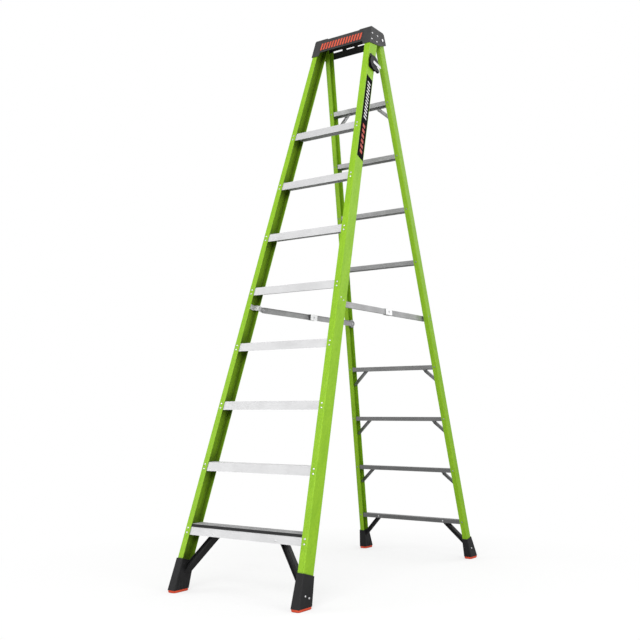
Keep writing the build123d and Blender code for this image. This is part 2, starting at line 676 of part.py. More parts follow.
def hinge_guard():
    """A white plastic guard, open at the top, that wraps both bars at the middle hinge."""
    base = Plane(origin=middle_pin, x_dir=(0, 1, 0), z_dir=inward)
    outer_face = -3.9
    inner_face = REAR_BAR_LAYER + BAR_PAN + 2.2
    bottom = -BAR_WIDTH / 2 - 1.0
    top = BAR_WIDTH / 2 + 1.0
    with BuildPart() as built:
        with BuildSketch(Plane.YZ.offset(-GUARD_LENGTH / 2)):
            with BuildLine():
                Polyline(
                    (top, outer_face), (bottom - GUARD_WALL, outer_face),
                    (bottom - GUARD_WALL, inner_face + GUARD_WALL), (top, inner_face + GUARD_WALL),
                    (top, inner_face), (bottom, inner_face),
                    (bottom, outer_face + GUARD_WALL), (top, outer_face + GUARD_WALL), close=True,
                )
            make_face()
        extrude(amount=GUARD_LENGTH)
    return base.location * built.part.solid()


# ---------------------------------------------------------------- front rail furniture

def web_plane(leg, back, z, stand=0.0):
    """A plane on the outer web: x runs back and down square to the leg, z points outward."""
    run = leg.point(0, 0, 1) - leg.point(0, 0, 0)
    up = run.normalized()
    origin = leg.point(0, back, z) + leg.out * stand
    return Plane(origin=origin, x_dir=up.cross(leg.out), z_dir=leg.out)


def utility_hook():
    """A moulded hook on a round back plate: a disc with a mouth open to the rear and a long jaw."""
    base = web_plane(FRONT, HOOK_BACK, HOOK_Z, PLAY)
    with BuildPart() as built:
        with BuildSketch():
            Circle(HOOK_RADIUS)
            with Locations((27.0, -24.0)):
                SlotOverall(58.0, 22.0)
            with Locations((10.0, 3.0)):
                Circle(13.0, mode=Mode.SUBTRACT)
            with BuildLine():
                Polyline((10, 15), (70, 26), (70, -10), (10, -9), close=True)
            make_face(mode=Mode.SUBTRACT)
        extrude(amount=HOOK_THICKNESS)
        with BuildSketch():
            Circle(HOOK_RADIUS - 5.0)
        extrude(amount=3.0)
        with BuildSketch():
            with Locations((-26.0, 0.0)):
                RectangleRounded(34.0, 92.0, 9.0)
        extrude(amount=4.0)
        fillet(built.faces().sort_by(Axis.Z)[-1].edges(), 2.0)
    return base.location * built.part.solid()


def hook_gate():
    """A plain metal gate from the middle of the hook across its mouth."""
    base = web_plane(FRONT, HOOK_BACK, HOOK_Z, HOOK_THICKNESS + 2 * PLAY)
    with BuildPart() as built:
        with BuildSketch():
            with Locations(Location((23.0, 4.0, 0.0), 7.0)):
                SlotOverall(78.0, 19.0)
        extrude(amount=2.0)
    return base.location * built.part.solid()


def side_label():
    """A plain printed panel on the outer web, with slanted ends."""
    front_back, rear_back = LABEL_BACKS
    low, high = LABEL_HEIGHTS
    stand = -0.35
    corners = [
        FRONT.point(stand, front_back, low), FRONT.point(stand, rear_back, low - LABEL_SLANT),
        FRONT.point(stand, rear_back, high - LABEL_SLANT), FRONT.point(stand, front_back, high),
    ]
    face = Face(Wire.make_polygon(corners, close=True))
    return Solid.extrude(face, FRONT.out * -0.3)


# ---------------------------------------------------------------- cap

CAP_REAR_TOP = (1094.0, CAP_TOP)       # corners of the cap's rear edge, as (Y, Z) from FRONT_FACE_Y
CAP_REAR_MIDDLE = (1109.0, 3003.0)
CAP_REAR_BOTTOM = (1112.0, 2988.0)
CAP_PROFILE = [                # side view of the cap
    (FRONT_LEAN * CAP_BOTTOM - CAP_FRONT_GAP, CAP_BOTTOM),
    (FRONT_LEAN * CAP_TOP - CAP_FRONT_GAP, CAP_TOP),
    CAP_REAR_TOP, CAP_REAR_MIDDLE, CAP_REAR_BOTTOM, (1044.0, 2961.0),
]
POD_START = 112.0              # the cap's raised ends begin this far from its middle
TRAY_HALF = 152.0
TRAY_Y = (993.0, 1071.0)
TRAY_DEPTH = 4.0
SLOTS = ((128.0, 66.0, 10.0), (40.0, 56.0, 7.0))       # distance from the middle, width and height
SLOT_Z = 3024.0


def cap_plate(profile, half_extra, x_low=-500, x_high=500):
    """The cap's outline run across the ladder, trimmed to a distance outside the rails."""
    corners = [Vector(x_low, FRONT_FACE_Y + y, z) for y, z in profile]
    block = Solid.extrude(Face(Wire.make_polygon(corners, close=True)), Vector(x_high - x_low, 0, 0))
    return block.intersect(slab_between_webs(FRONT, -half_extra, CAP_BOTTOM - 60, CAP_POD_TOP + 60)).solid()


def cap_hollow_profile():
    """The space inside the cap: it just clears the front rails and runs out below."""
    below = CAP_BOTTOM - 40.0
    ceiling = CAP_TOP - CAP_WALL
    return [
        (FRONT_LEAN * below - PLAY, below), (FRONT_LEAN * ceiling - PLAY, ceiling),
        (CAP_REAR_TOP[0] - CAP_WALL, ceiling), (CAP_REAR_MIDDLE[0] - CAP_WALL, CAP_REAR_MIDDLE[1]),
        (CAP_REAR_BOTTOM[0] - CAP_WALL, CAP_REAR_BOTTOM[1]), (CAP_REAR_BOTTOM[0] - CAP_WALL, below),
    ]


def cap_pods():
    """The raised ends of the cap."""
    front_y, rear_y = CAP_PROFILE[1][0], CAP_REAR_TOP[0]
    profile = [
        (front_y - 0.5, CAP_TOP - 4), (front_y + 2.0, CAP_POD_TOP - 2), (front_y + 6.0, CAP_POD_TOP),
        (rear_y - 5.0, CAP_POD_TOP), (rear_y - 1.5, CAP_POD_TOP - 2), (rear_y, CAP_TOP - 4),
    ]
    pod = cap_plate(profile, CAP_WALL - 3.0, POD_START)
    return [pod, mirrored(pod)]


def cap_tray(margin, z_low, z_high):
    """The space of the long tray in the cap's top, widened on all sides by a margin."""
    low_y, high_y = TRAY_Y
    width = 2 * (TRAY_HALF + margin)
    depth = high_y - low_y + 2 * margin
    corner = (-TRAY_HALF - margin, FRONT_FACE_Y + low_y - margin, z_low)
    return Solid.make_box(width, depth, z_high - z_low, Plane(corner))


def cap_slots():
    """Four slots through the rear wall, the middle ones smaller."""
    slots = []
    for distance, width, height in SLOTS:
        for side in (-1, 1):
            corner = (side * distance - width / 2, FRONT_FACE_Y + 1085, SLOT_Z)
            slot = Solid.make_box(width, 40.0, height, Plane(corner))
            slots.append(slot.fillet(0.45 * height, slot.edges().filter_by(Axis.Y)))
    return slots


def top_cap():
    """A moulded cap, hollow below, with raised ends, a tray, slots behind and an arched front wall."""
    body = cap_plate(CAP_PROFILE, CAP_WALL).fuse(*cap_pods()).solid()
    tray_floor = CAP_TOP - TRAY_DEPTH
    tray = cap_tray(0.0, tray_floor, CAP_TOP + 6.0)
    tray = tray.fillet(6.0, tray.edges().filter_by(Axis.Z))
    under_tray = cap_tray(CAP_WALL, tray_floor - CAP_WALL, CAP_TOP + 6.0)
    hollow = cap_plate(cap_hollow_profile(), PLAY).cut(under_tray).solid()
    return cut(cut(body, [hollow, tray]), cap_slots() + [cap_arch()])


def cap_arch():
    """The space cut from the cap's front wall, so that its lower edge arches up between the rails."""
    rise, half_low, half_high = 22.0, 157.0, 148.0
    middle = FRONT_FACE_Y + FRONT_LEAN * CAP_BOTTOM
    outline = [(-half_low, -10.0), (half_low, -10.0), (half_high, rise), (-half_high, rise)]
    corners = [Vector(x, middle - 20.0, CAP_BOTTOM + z) for x, z in outline]
    return Solid.extrude(Face(Wire.make_polygon(corners, close=True)), Vector(0, 36.0, 0))


def cap_fastenings():
    grip = CAP_WALL + PLAY + FRONT_WALL
    places = []
    for z in (3014.0, 2975.0):
        for back in (14.0, 69.0):
            places.append((FRONT.point(-CAP_WALL, back, z), FRONT.out, grip))
    return places


cap_places = cap_fastenings()
cap_holes = [rivet_hole(*place) for place in cap_places]


def cap_pivot_pin():
    """The shouldered pin the rear rail swings on, through the cap's side and the rail's web."""
    cap_face = FRONT.point(-CAP_WALL, 0, PIVOT_Z).X
    cap_inner = FRONT.point(0, 0, PIVOT_Z).X
    web = REAR.point(0, 0, PIVOT_Z).X
    web_inner = web - REAR_WALL
    axis = Vector(1, 0, 0)
    steps = [
        (web_inner - 4.0, cap_face + 0.7, PIVOT_RADIUS), (cap_face + 0.7, cap_face + 3.2, 8.0),
        (web + 0.7, cap_inner - 0.8, 9.0), (web_inner - 4.0, web_inner - 1.9, PIN_HEAD_RADIUS),
    ]
    shank, *collars = [rod(PIVOT, axis, radius, start, end) for start, end, radius in steps]
    return shank.fuse(*collars).solid()


def pivot_washer():
    """A washer between the rear rail's web and the pin's tail."""
    web_inner = REAR.point(0, 0, PIVOT_Z).X - REAR_WALL
    disc = rod(PIVOT, Vector(1, 0, 0), 10.0, web_inner - 1.85, web_inner - 0.75)
    return cut(disc, [rod(PIVOT, Vector(1, 0, 0), PIVOT_RADIUS + FIT, 0, 400)])


def nameplate():
    """A plain raised strip with slanted ends on the front of the cap."""
    low, high, half, slant = 2978.0, 3030.0, 147.0, 8.0
    outline = [(-half - slant, low), (half - slant, low), (half, high), (-half, high)]
    stand = -CAP_FRONT_GAP - PLAY
    corners = [Vector(x, FRONT.point(0, stand, z).Y, z) for x, z in outline]
    return Solid.extrude(Face(Wire.make_polygon(corners, close=True)), FRONT.forward * 1.0)


# ---------------------------------------------------------------- assembly

os.makedirs("parts", exist_ok=True)

pivot_hole = rod(PIVOT, Vector(1, 0, 0), PIVOT_RADIUS + FIT, 0, 400)

front_rail = FRONT.channel(LEG_BOTTOM, FRONT_TOP)
front_rail = cut(front_rail, tread_holes + front_foot_holes[:2] + front_bracket_holes + cap_holes)
save_pair("front_rail", front_rail)

rear_rail = REAR.channel(LEG_BOTTOM, PIVOT_Z + 18.0)
rear_rail = cut(rear_rail, bar_holes + rear_foot_holes[:1] + rear_bracket_holes + [pivot_hole])
save_pair("rear_rail", rear_rail)

for step in range(TREAD_COUNT):
    holes = [rivet_hole(*place) for place in tread_fastenings(step)]
    if step == 0:
        holes.append(front_foot_holes[2])
    save(f"tread_{step + 1}", cut(tread_body(step), holes + [mirrored(hole) for hole in holes]))
save("tread_rivets", both_sides(tread_rivets))

save("bottom_tread_mat", tread_mat())

front_boot = cut(front_boot, front_foot_holes[:2])
rear_boot = cut(rear_boot, rear_foot_holes[:1])
save_pair("front_boot", front_boot)
save_pair("rear_boot", rear_boot)
save_pair("front_sole", sole_pad(FRONT, FRONT_SOLE))
save_pair("rear_sole", sole_pad(REAR, REAR_SOLE))
save_pair("front_foot_strut", cut(front_strut, [front_foot_holes[2]]))
save_pair("rear_foot_strut", cut(rear_strut, [rear_foot_holes[1]]))
save("front_foot_rivets", both_sides(foot_rivets(front_foot_places)))
save("rear_foot_rivets", both_sides(foot_rivets(rear_foot_places)))

for number, step in enumerate(BAR_STEPS, start=1):
    holes = [rivet_hole(*place) for place in bar_fastenings(step)]
    if step in GUSSETED_STEPS:
        holes.append(rivet_hole(*gusset_fastenings(step)[0]))
    if step == 0:
        holes.append(rear_foot_holes[1])
    save(f"rear_bar_{number}", cut(bar_body(step), holes + [mirrored(hole) for hole in holes]))
gussets = []
for step in GUSSETED_STEPS:
    holes = [rivet_hole(*place) for place in gusset_fastenings(step)]
    gussets.append(cut(gusset_body(step), holes))
save("rear_gussets", both_sides(gussets))
save("rear_bar_rivets", both_sides(bar_rivets))

save("top_cap", cut(top_cap(), [*cap_holes, *map(mirrored, cap_holes), pivot_hole, mirrored(pivot_hole)]))
save("cap_rivets", both_sides(rivet(*place) for place in cap_places))
save("cap_pivot_pins", both_sides([cap_pivot_pin()]))
save("cap_pivot_washers", both_sides([pivot_washer()]))
save("cap_nameplate", nameplate())

save("front_spreader_brackets", both_sides([cut(front_bracket, front_bracket_holes)]))
save("rear_spreader_brackets", both_sides([cut(rear_bracket, rear_bracket_holes)]))
save("front_bracket_rivets", both_sides(rivet(*place, head_radius=4.0) for place in front_bracket_places))
save("rear_bracket_rivets", both_sides(rivet(*place, head_radius=4.0) for place in rear_bracket_places))
save("spreader_front_pins", both_sides([front_spreader_pin]))
save_pair("spreader_front_bar", front_bar)
save_pair("spreader_rear_bar", rear_bar)
save_pair("spreader_hinge_guard", hinge_guard())
save("spreader_pins_right", group([middle_spreader_pin, rear_spreader_pin]))
save("spreader_pins_left", group([mirrored(middle_spreader_pin), mirrored(rear_spreader_pin)]))

save_pair("utility_hook", utility_hook())
save("hook_gates", both_sides([hook_gate()]))
save("side_labels", both_sides([side_label()]))
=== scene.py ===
import math

import bmesh
import bpy
from mathutils import Euler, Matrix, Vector


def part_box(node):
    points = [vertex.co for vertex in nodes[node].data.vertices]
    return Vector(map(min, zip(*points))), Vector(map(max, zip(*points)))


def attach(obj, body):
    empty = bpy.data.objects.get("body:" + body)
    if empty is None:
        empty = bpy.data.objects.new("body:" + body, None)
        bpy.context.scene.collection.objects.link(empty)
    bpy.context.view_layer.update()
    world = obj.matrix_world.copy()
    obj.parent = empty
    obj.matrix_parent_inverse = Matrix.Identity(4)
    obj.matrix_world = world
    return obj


# Looks for the ten-foot fibreglass stepladder. Metres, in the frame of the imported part:
# X across the ladder, +Y from the treads to the rear rails, +Z up, origin on the ground.

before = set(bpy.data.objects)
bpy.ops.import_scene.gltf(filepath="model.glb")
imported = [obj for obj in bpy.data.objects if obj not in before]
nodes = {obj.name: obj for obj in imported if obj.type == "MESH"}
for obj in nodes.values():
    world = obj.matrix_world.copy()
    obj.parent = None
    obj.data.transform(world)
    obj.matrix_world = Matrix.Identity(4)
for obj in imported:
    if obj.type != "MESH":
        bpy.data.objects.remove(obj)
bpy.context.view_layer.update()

# How the rails stand: each closes in and leans by this much per metre of height.
FRONT_HALF_WIDTH = 0.3905
FRONT_FACE_Y = -0.9082
FRONT_TAPER = 0.0653
FRONT_LEAN = 0.3155
REAR_TAPER = 0.0645
REAR_LEAN = -0.2317

SIDES = ((1, "right"), (-1, "left"))


# ---------------------------------------------------------------- materials

def linear(red, green, blue):
    """A display colour, 0 to 255 a channel, as the linear colour a shader takes."""
    def channel(value):
        value /= 255
        return value / 12.92 if value <= 0.04045 else ((value + 0.055) / 1.055) ** 2.4
    return (channel(red), channel(green), channel(blue), 1.0)


def grey(value):
    """A grey with the slightest cool tint."""
    return linear(value, value, value + 1)


def toned(colour, tone):
    """A linear colour made lighter or darker by a factor."""
    return tuple(min(1.0, tone * value) for value in colour[:3]) + (1.0,)


class Finish:
    """A node material under construction, with one Principled shader."""

    def __init__(self, name, metallic=0.0, **inputs):
        self.material = bpy.data.materials.new(name)
        self.material.use_nodes = True
        self.tree = self.material.node_tree
        self.tree.nodes.clear()
        output = self.tree.nodes.new("ShaderNodeOutputMaterial")
        self.shader = self.tree.nodes.new("ShaderNodeBsdfPrincipled")
        self.tree.links.new(self.shader.outputs["BSDF"], output.inputs["Surface"])
        self.shader.inputs["Metallic"].default_value = metallic
        for socket, value in inputs.items():
            self.shader.inputs[socket.replace("_", " ")].default_value = value
        coordinates = self.tree.nodes.new("ShaderNodeTexCoord")
        self.place = coordinates.outputs["Object"]

    def plug(self, value, socket):
        """Put a number, a colour or another node's output into a socket."""
        if isinstance(value, bpy.types.NodeSocket):
            self.tree.links.new(value, socket)
        else:
            socket.default_value = value

    def math(self, operation, first, second=0.0):
        """One arithmetic step on two values."""
        node = self.tree.nodes.new("ShaderNodeMath")
        node.operation = operation
        self.plug(first, node.inputs[0])
        self.plug(second, node.inputs[1])
        return node.outputs[0]

    def follow_rail(self, taper, lean):
        """Shear the coordinates, so that textures run along a leaning, tapering rail."""
        x, y, z = self.parts(self.place)
        across = self.math("ADD", self.math("ABSOLUTE", x), self.math("MULTIPLY", z, taper))
        back = self.math("SUBTRACT", y, self.math("MULTIPLY", z, lean))
        join = self.tree.nodes.new("ShaderNodeCombineXYZ")
        for value, socket in zip((across, back, z), join.inputs):
            self.plug(value, socket)
        self.place = join.outputs[0]

    def stretched(self, scale):
        """The coordinates, scaled by a factor for each axis."""
        node = self.tree.nodes.new("ShaderNodeMapping")
        self.plug(self.place, node.inputs["Vector"])
        node.inputs["Scale"].default_value = scale
        return node.outputs[0]

    def noise(self, scale, detail=4.0, roughness=0.55):
        """Noise, 0 to 1, with its own number of features per metre along each axis."""
        node = self.tree.nodes.new("ShaderNodeTexNoise")
        self.plug(self.stretched(scale), node.inputs["Vector"])
        node.inputs["Scale"].default_value = 1.0
        node.inputs["Detail"].default_value = detail
        node.inputs["Roughness"].default_value = roughness
        return node.outputs["Fac"]

    def cells(self, scale):
        """Rounded cells, 0 in the middle of each, for moulded grain."""
        node = self.tree.nodes.new("ShaderNodeTexVoronoi")
        self.plug(self.stretched(scale), node.inputs["Vector"])
        node.inputs["Scale"].default_value = 1.0
        return node.outputs["Distance"]

    def spread(self, value, low, high, start=0.0, end=1.0):
        """Map start..end of a value onto low..high."""
        node = self.tree.nodes.new("ShaderNodeMapRange")
        self.plug(value, node.inputs["Value"])
        for socket, number in zip(("From Min", "From Max", "To Min", "To Max"), (start, end, low, high)):
            node.inputs[socket].default_value = number
        return node.outputs["Result"]

    def mix(self, share, first, second):
        """Blend from the first colour, at share 0, to the second, at share 1."""
        node = self.tree.nodes.new("ShaderNodeMix")
        node.data_type = "RGBA"
        self.plug(share, node.inputs["Factor"])
        self.plug(first, node.inputs[6])
        self.plug(second, node.inputs[7])
        return node.outputs[2]

    def worn_edges(self, radius, amount=1.0):
        """1 on sharp outer edges and 0 on flat faces."""
        bevel = self.tree.nodes.new("ShaderNodeBevel")
        bevel.samples = 4
        bevel.inputs["Radius"].default_value = radius
        geometry = self.tree.nodes.new("ShaderNodeNewGeometry")
        dot = self.tree.nodes.new("ShaderNodeVectorMath")
        dot.operation = "DOT_PRODUCT"
        self.plug(bevel.outputs[0], dot.inputs[0])
        self.plug(geometry.outputs["Normal"], dot.inputs[1])
        return self.spread(dot.outputs["Value"], amount, 0.0, 0.75, 0.98)

    def shade_recesses(self, body, reach, depth):
        """Darken a colour with painted shade where the surface is shut in by its surroundings, as inside a
        channel.
        """
        node = self.tree.nodes.new("ShaderNodeAmbientOcclusion")
        node.samples = 8
        node.inputs["Distance"].default_value = reach
        share = self.spread(node.outputs["AO"], depth, 0.0, 0.45, 0.95)
        return self.mix(share, body, (0.0, 0.0, 0.0, 1.0))

    def parts(self, vector):
        """The X, Y and Z of a vector."""
        split = self.tree.nodes.new("ShaderNodeSeparateXYZ")
        self.plug(vector, split.inputs[0])
        return split.outputs

    def facing_up(self):
        """1 where the surface faces up, and 0 where it is steep or faces down."""
        geometry = self.tree.nodes.new("ShaderNodeNewGeometry")
        return self.spread(self.parts(geometry.outputs["Normal"])[2], 0.0, 1.0, 0.3, 0.8)

    def colour(self, value):
        """Set the base colour."""
        self.plug(value, self.shader.inputs["Base Color"])

    def rough(self, value):
        """Set the roughness."""
        self.plug(value, self.shader.inputs["Roughness"])

    def bumps(self, *layers):
        """Stack (height, depth in metres) layers of fine relief."""
        normal = None
        for height, depth in layers:
            node = self.tree.nodes.new("ShaderNodeBump")
            node.inputs["Strength"].default_value = 1.0
            node.inputs["Distance"].default_value = depth
            self.plug(height, node.inputs["Height"])
            if normal is not None:
                self.plug(normal, node.inputs["Normal"])
            normal = node.outputs[0]
        self.plug(normal, self.shader.inputs["Normal"])


def green_fibreglass(name, taper, lean, tone, recess_shade):
    """Pultruded fibreglass: veil mottling under a glossy skin, with fibres along the rail, and painted
    shade inside its channel.
    """
    finish = Finish(name, Specular_IOR_Level=0.22, Coat_Weight=0.06, Coat_Roughness=0.2)
    finish.follow_rail(taper, lean)
    patches = finish.noise((26, 26, 9), detail=3)
    veil = finish.noise((150, 150, 90), detail=5, roughness=0.65)
    fibres = finish.noise((900, 900, 14), detail=3)
    flecks = finish.spread(finish.noise((330, 330, 160), detail=2), 0.0, 1.0, 0.60, 0.70)
    leaf, lime, moss, pale, deep, worn = (
        toned(linear(*colour), tone) for colour in (
            (146, 198, 32), (158, 208, 38), (128, 181, 24), (164, 212, 56), (108, 158, 20), (180, 220, 76),
        )
    )
    body = finish.mix(finish.spread(patches, 0, 1, 0.35, 0.65), leaf, lime)
    body = finish.mix(finish.spread(veil, 0, 0.7, 0.42, 0.68), body, moss)
    body = finish.mix(finish.spread(fibres, 0, 0.35, 0.45, 0.7), body, pale)
    body = finish.mix(finish.math("MULTIPLY", flecks, 0.35), body, deep)
    body = finish.mix(finish.worn_edges(0.0012, 0.4), body, worn)
    # Painted shade: the colour darkens inside the rail's channel.
    finish.colour(finish.shade_recesses(body, 0.085, recess_shade))
    finish.rough(finish.spread(veil, 0.42, 0.6, 0.3, 0.7))
    finish.bumps((veil, 0.00025), (fibres, 0.00012))
    return finish.material


def brushed_metal(name, light, dark, scale, rough, across=(3, 700, 700), shade=None, metallic=0.75):
    """Mill-finish metal: draw lines along the piece, soft stains and bright worn edges."""
    finish = Finish(name, metallic=metallic)
    lines = finish.noise(across, detail=4)
    stains = finish.noise((scale, scale, scale), detail=5, roughness=0.6)
    body = finish.mix(finish.spread(stains, 0, 1, 0.3, 0.7), light, dark)
    body = finish.mix(finish.spread(lines, 0, 0.35, 0.45, 0.75), body, dark)
    # Painted shade, laid over the metal's own colour where a piece asks for it.
    if shade is not None:
        body = shade(finish, body)
    finish.colour(finish.mix(finish.worn_edges(0.0008, 0.6), body, linear(245, 245, 247)))
    patchy = finish.spread(stains, rough - 0.05, rough + 0.08)
    finish.rough(finish.math("ADD", finish.spread(lines, -0.06, 0.06), patchy))
    finish.bumps((stains, 0.0002), (lines, 0.00006))
    return finish.material


def moulded_plastic(
    name, light, dark, rough, grain=900.0, depth=0.00008, scuff=0.35, gloss=0.3, shade=None,
):
    """Moulded plastic or rubber: fine grain, a cloudy surface and pale scuffs on the edges."""
    finish = Finish(name, Specular_IOR_Level=gloss)
    cloud = finish.noise((14, 14, 14), detail=5, roughness=0.6)
    specks = finish.cells((grain, grain, grain))
    scratches = finish.spread(finish.noise((40, 40, 400), detail=3), 0, 1, 0.66, 0.74)
    body = finish.mix(finish.spread(cloud, 0, 1, 0.3, 0.7), dark, light)
    pale = tuple(min(1.0, 2.2 * value + 0.02) for value in light[:3]) + (1.0,)
    body = finish.mix(finish.math("MULTIPLY", scratches, 0.4 * scuff), body, pale)
    # Painted light or shade by the way the surface faces, where a piece asks for it.
    if shade is not None:
        body = shade(finish, body)
    finish.colour(finish.mix(finish.worn_edges(0.0015, scuff), body, pale))
    finish.rough(finish.spread(cloud, rough - 0.07, rough + 0.09, 0.3, 0.7))
    finish.bumps((specks, depth), (cloud, 0.0003))
    return finish.material


def painted_shade_below(finish, body):
    """Painted shade: the lower cross bars are darkened towards grey."""
    height = finish.parts(finish.place)[2]
    share = finish.spread(height, 0.72, 0.0, 0.4, 2.1)
    return finish.mix(share, body, grey(100))


def painted_shade_on_top(finish, body):
    """Painted shade: the cap's upward faces are darkened."""
    return finish.mix(finish.facing_up(), body, grey(34))


def painted_light_on_top(finish, body):
    """Painted light: the mat's upward faces are painted pale grey; its lip keeps the black of the rubber.
    """
    return finish.mix(finish.facing_up(), grey(26), body)


FINE = (300, 300, 300)         # an even grain, for small turned and pressed pieces
FINISHES = {
    "front_green": green_fibreglass("green_fibreglass_front", FRONT_TAPER, FRONT_LEAN, 0.86, 0.66),
    # The rear rails are the same fibreglass, toned darker as painted shade.
    "rear_green_shaded": green_fibreglass("green_fibreglass_rear_shaded", REAR_TAPER, REAR_LEAN, 0.76, 0.0),
    "tread_aluminium": brushed_metal("tread_metal", grey(214), grey(201), 9, 0.5, metallic=0.3),
    "bar_aluminium": brushed_metal("bar_metal", grey(188), grey(164), 12, 0.42, shade=painted_shade_below),
    "rivet_steel": brushed_metal("rivet_metal", grey(226), grey(198), 60, 0.3, FINE),
    "dull_rivet": brushed_metal("dull_rivet_metal", grey(150), grey(128), 60, 0.5, FINE, metallic=0.4),
    "spreader_steel": brushed_metal(
        "spreader_metal", grey(182), grey(156), 14, 0.45, (700, 3, 700), metallic=0.5,
    ),
    "bracket_steel": brushed_metal("bracket_metal", grey(222), grey(204), 20, 0.4, FINE, metallic=0.4),
    "black_plastic": moulded_plastic("boot_plastic", grey(37), grey(25), 0.5, gloss=0.2),
    "hook_gloss": moulded_plastic("hook_gloss", grey(9), grey(4), 0.3, depth=0.00003, gloss=0.1),
    "orange_rubber": moulded_plastic(
        "sole_rubber", linear(222, 84, 52), linear(202, 68, 40), 0.62, 700, scuff=0.25,
    ),
    # The mat is black rubber; its pale greys are painted light on its upward faces.
    "black_rubber": moulded_plastic(
        "mat_rubber", grey(192), grey(160), 0.58, 600, scuff=0.15, shade=painted_light_on_top,
    ),
    "cap_plastic": moulded_plastic(
        "cap_moulding", grey(65), grey(52), 0.48, 650, 0.00014, gloss=0.2, shade=painted_shade_on_top,
    ),
    "nameplate_dark": moulded_plastic("nameplate_film", grey(52), grey(42), 0.42, 1200, scuff=0.2),
    "label_black": moulded_plastic(
        "label_film", grey(5), grey(2), 0.6, 1500, 0.00003, scuff=0.02, gloss=0.03,
    ),
    "white_plastic": moulded_plastic("guard_white", grey(249), grey(241), 0.4, 900, scuff=0.1),
}


def ink(name, light, dark):
    """Smooth printed or painted marking."""
    return moulded_plastic(name, light, dark, 0.42, grain=1400, scuff=0.1)


LABEL_WHITE = ink("label_white_ink", grey(240), grey(222))
LABEL_RED = ink("label_red_ink", linear(190, 72, 52), linear(172, 60, 44))
BADGE_RED = ink("badge_red_ink", linear(222, 92, 66), linear(200, 78, 56))
GUARD_GREY = ink("guard_grey_ink", grey(184), grey(166))


def finish_for(name, slot):
    """The material of a node: by its slot in model.glb, but for the pieces named here."""
    if slot == "green_fibreglass":
        return FINISHES["rear_green_shaded" if name.startswith("rear") else "front_green"]
    if name.startswith("utility_hook"):
        return FINISHES["hook_gloss"]
    if name in ("rear_bar_rivets", "rear_bracket_rivets"):
        return FINISHES["dull_rivet"]
    if name in ("front_spreader_brackets", "hook_gates"):
        return FINISHES["bracket_steel"]
    return FINISHES[slot]


for node_name, node in nodes.items():
    node.data.materials[0] = finish_for(node_name, node.data.materials[0].name)


# ---------------------------------------------------------------- printed and moulded detail

def prism(name, outline, direction, thickness, material, body):
    """A thin raised shape: a flat outline, swept along a direction, with softened edges."""
    mesh = bpy.data.meshes.new(name)
    build = bmesh.new()
    sweep = Vector(direction).normalized() * thickness
    base = [build.verts.new(Vector(point)) for point in outline]
    top = [build.verts.new(Vector(point) + sweep) for point in outline]
    build.faces.new(base[::-1])
    build.faces.new(top)
    for number in range(len(outline)):
        after = (number + 1) % len(outline)
        build.faces.new((base[number], base[after], top[after], top[number]))
    bmesh.ops.recalc_face_normals(build, faces=build.faces)
    build.to_mesh(mesh)
    build.free()
    piece = bpy.data.objects.new(name, mesh)
    bpy.context.scene.collection.objects.link(piece)
    mesh.materials.append(material)
    bevel = piece.modifiers.new("softened", "BEVEL")
    bevel.width = thickness * 0.4
    bevel.segments = 2
    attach(piece, body)
    return piece


INK = 0.0002                   # thickness of a printed mark
LABEL_STAND = 0.00037          # from a rail's web to just clear of its label film
LABEL_SLANT = 0.6              # how far the label's marks drop as they run back
RED_BARS = {"count": 6, "start": 2.262, "step": 0.031, "tall": 0.019, "front": 0.034, "rear": 0.058}
PALE_BARS = {"count": 12, "start": 2.475, "step": 0.020, "tall": 0.009, "front": 0.032, "rear": 0.060}

BADGE_BARS = 15
BADGE_END_MARGIN = 0.007
BADGE_EDGE_MARGIN = 0.004
BADGE_BAR_SHARE = 0.58         # width of a bar, as a share of the distance between bars
BADGE_SLANT = 0.006            # how far a bar's top leans over its foot
BADGE_RELIEF = 0.0008
BADGE_GAP = 0.00005            # how far in front of the badge's face the bars start

GUARD_HALF_DEPTH = 0.01097     # from the middle of a hinge guard to just clear of its faces
GUARD_MARK_HALF_WIDTH = 0.007
GUARD_MARK_HALF_HEIGHT = 0.009


def on_web(side, back, z):
    """A point just clear of the label on a front rail's outer web, this far back from its front face."""
    out = Vector((side, 0, FRONT_TAPER)).normalized()
    place = Vector((side * (FRONT_HALF_WIDTH - FRONT_TAPER * z), FRONT_FACE_Y + FRONT_LEAN * z + back, z))
    return place + out * LABEL_STAND


def label_bars(name, side, material, count, start, step, tall, front, rear):
    """Plain slanted bars in a row up one side label."""
    drop = LABEL_SLANT * (rear - front)
    out = (side, 0, FRONT_TAPER)
    for number in range(count):
        low = start + number * step
        high = low + tall
        outline = [
            on_web(side, front, low), on_web(side, rear, low - drop),
            on_web(side, rear, high - drop), on_web(side, front, high),
        ]
        prism(f"{name}_{number + 1}", outline, out, INK, material, "front_section")


def badge_bars():
    """Slanted raised bars along the plain badge on the front of the cap."""
    low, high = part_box("cap_nameplate")
    forward = Vector((0, -1, FRONT_LEAN)).normalized()
    bottom, top = low.z + BADGE_EDGE_MARGIN, high.z - BADGE_EDGE_MARGIN
    pitch = (high.x - low.x - 2 * BADGE_END_MARGIN) / BADGE_BARS
    width = BADGE_BAR_SHARE * pitch
    face_y = low.y - FRONT_LEAN * low.z

    def corner(x, z):
        return Vector((x, face_y + FRONT_LEAN * z - BADGE_GAP, z))

    for number in range(BADGE_BARS):
        left = low.x + BADGE_END_MARGIN + number * pitch
        outline = [
            corner(left, bottom), corner(left + width, bottom),
            corner(left + width + BADGE_SLANT, top), corner(left + BADGE_SLANT, top),
        ]
        name = f"badge_bar_{number + 1}"
        prism(name, outline, forward, BADGE_RELIEF, BADGE_RED, "front_section")


